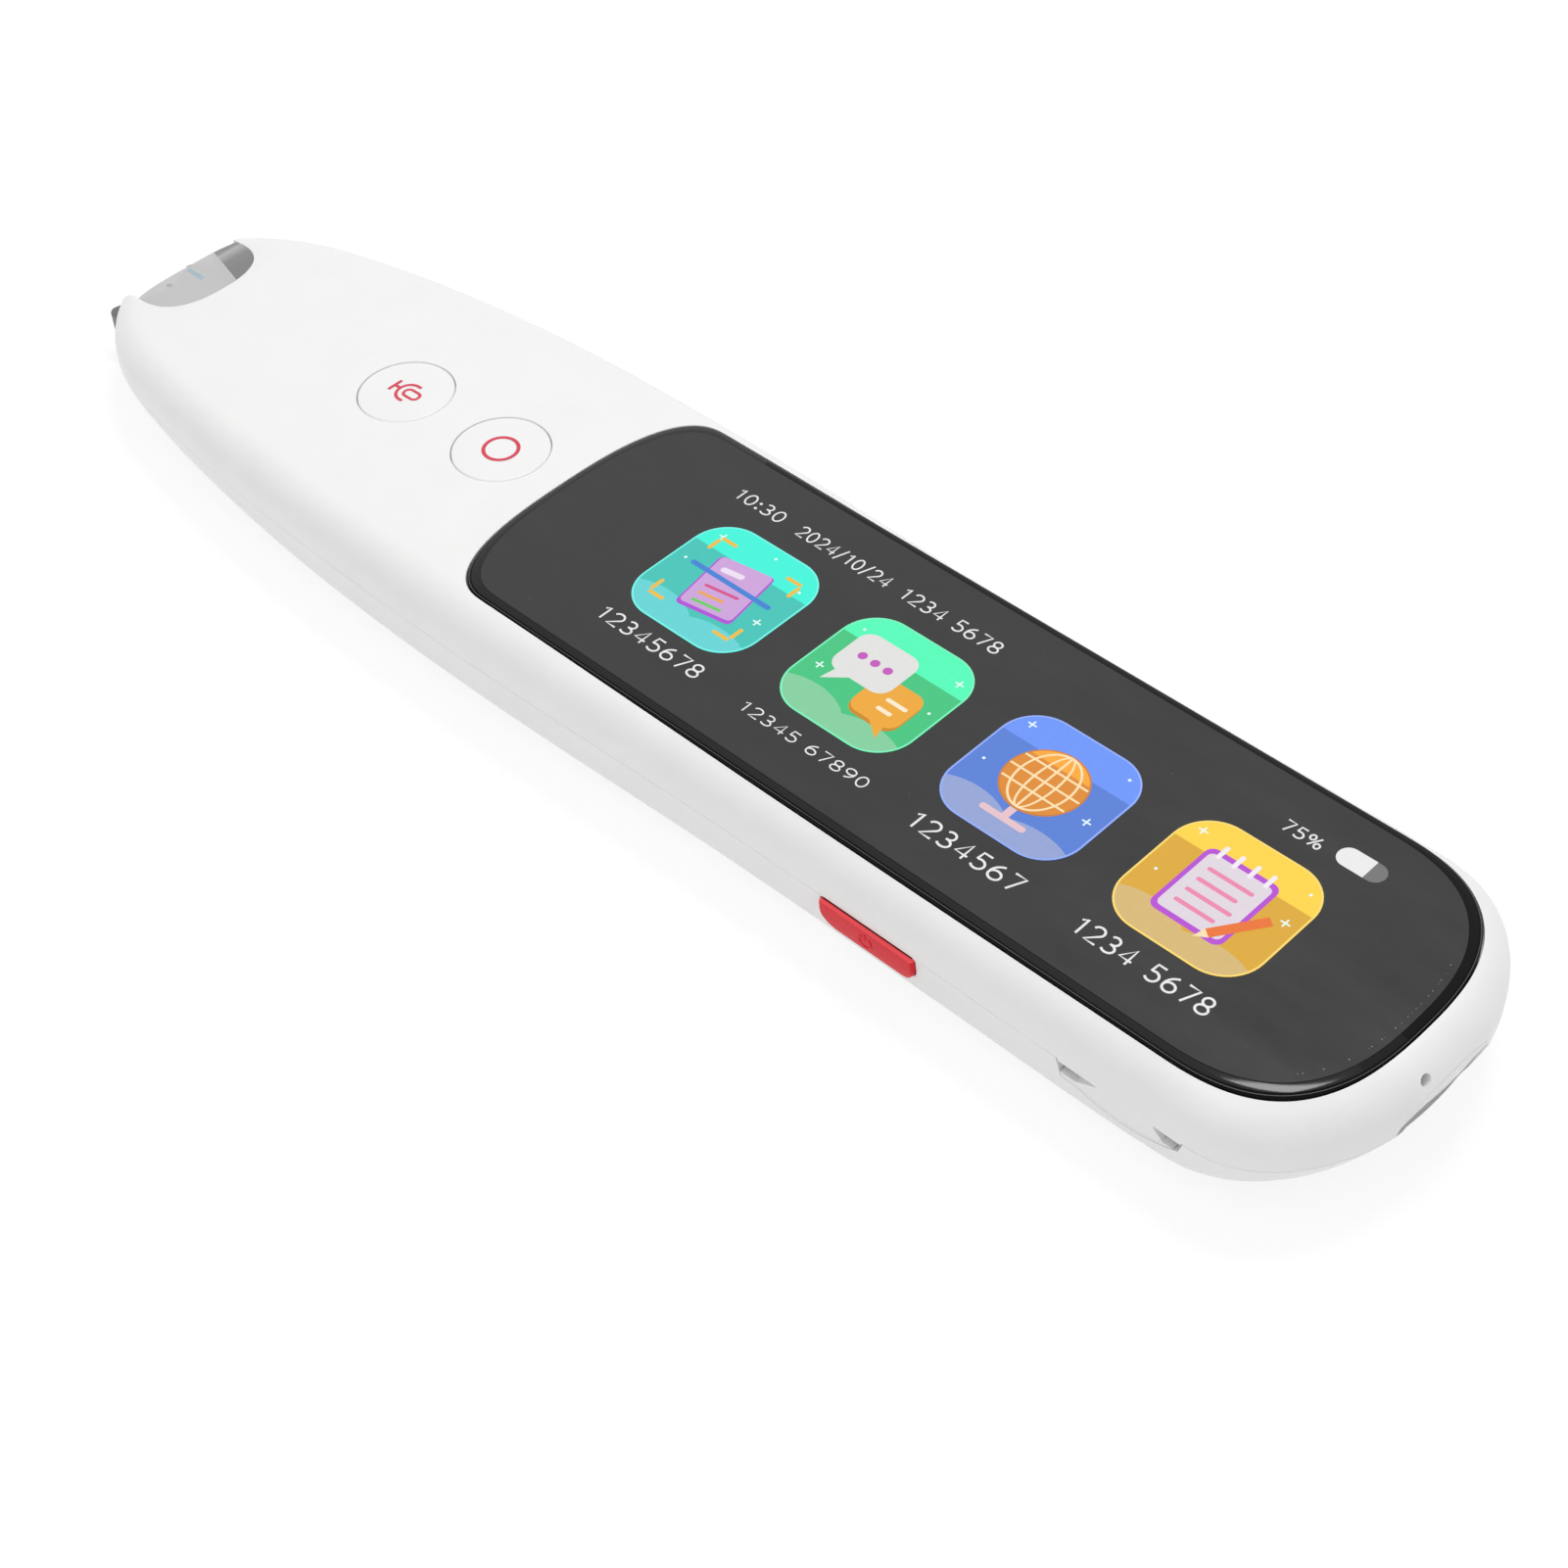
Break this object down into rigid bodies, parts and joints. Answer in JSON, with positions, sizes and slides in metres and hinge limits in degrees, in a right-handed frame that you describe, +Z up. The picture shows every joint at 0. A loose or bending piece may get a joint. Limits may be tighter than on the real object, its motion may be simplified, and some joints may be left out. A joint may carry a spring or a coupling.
{
  "type": "translation pen",
  "caption": "Hand-held scanning translation pen with a long touch screen, round keys, a side power key, a sliding tip nib and a charging port.",
  "frame": {"origin": "centre of the footprint, on the surface that the pen lies on", "axes": "+X from the reading tip to the blunt end, +Z up out of the screen, +Y towards the side without the power key"},
  "size_m": [0.1504, 0.0332, 0.0121],
  "materials": {
    "white_plastic": "satin",
    "red_plastic": "satin",
    "black_plastic": "matt",
    "grey_plastic": "matt",
    "smoke_plastic": "polished",
    "dark_glass": "polished",
    "board_green": "satin",
    "steel": "brushed",
    "battery_foil": "satin",
    "foam": "matt"
  },
  "bodies": {
    "housing": {"top_shell": "white_plastic", "bottom_shell": "white_plastic", "cover_glass": "dark_glass", "glass_adhesive": "foam", "display_panel": "dark_glass", "display_tray": "steel", "scan_window": "smoke_plastic", "light_duct": "grey_plastic", "scan_lamp": "black_plastic", "aim_lamp": "black_plastic", "camera_body": "black_plastic", "lens_barrel": "black_plastic", "camera_lens": "dark_glass", "tip_switch": "black_plastic", "voice_switch": "black_plastic", "home_switch": "black_plastic", "power_switch": "black_plastic", "main_board": "board_green", "shield_can": "steel", "memory_chip": "black_plastic", "battery_plug": "grey_plastic", "battery_cell": "battery_foil", "battery_pad": "foam", "speaker_unit": "black_plastic", "speaker_mesh": "foam", "usb_board": "board_green", "usb_shell": "steel", "usb_tongue": "black_plastic", "microphone": "steel", "board_screw_1": "steel", "board_screw_2": "steel", "board_screw_3": "steel", "board_screw_4": "steel"},
    "voice_button": {"voice_key": "white_plastic", "voice_plunger": "grey_plastic"},
    "home_button": {"home_key": "white_plastic", "home_plunger": "grey_plastic"},
    "power_button": {"power_key": "red_plastic", "power_plunger": "grey_plastic"},
    "nib": {"nib_slider": "smoke_plastic", "tip_plunger": "grey_plastic"}
  },
  "joints": [
    {"name": "voice_press", "type": "slide", "parent": "housing", "child": "voice_button", "axis": [0, 0, -1], "range_m": [0, 0.00035], "stiffness_N_per_m": 2000},
    {"name": "home_press", "type": "slide", "parent": "housing", "child": "home_button", "axis": [0, 0, -1], "range_m": [0, 0.00035], "stiffness_N_per_m": 2000},
    {"name": "power_press", "type": "slide", "parent": "housing", "child": "power_button", "axis": [0, 1, 0], "range_m": [0, 0.00035], "stiffness_N_per_m": 2000},
    {"name": "nib_press", "type": "slide", "parent": "housing", "child": "nib", "axis": [1, 0, 0], "range_m": [0, 0.0006], "stiffness_N_per_m": 600}
  ]
}
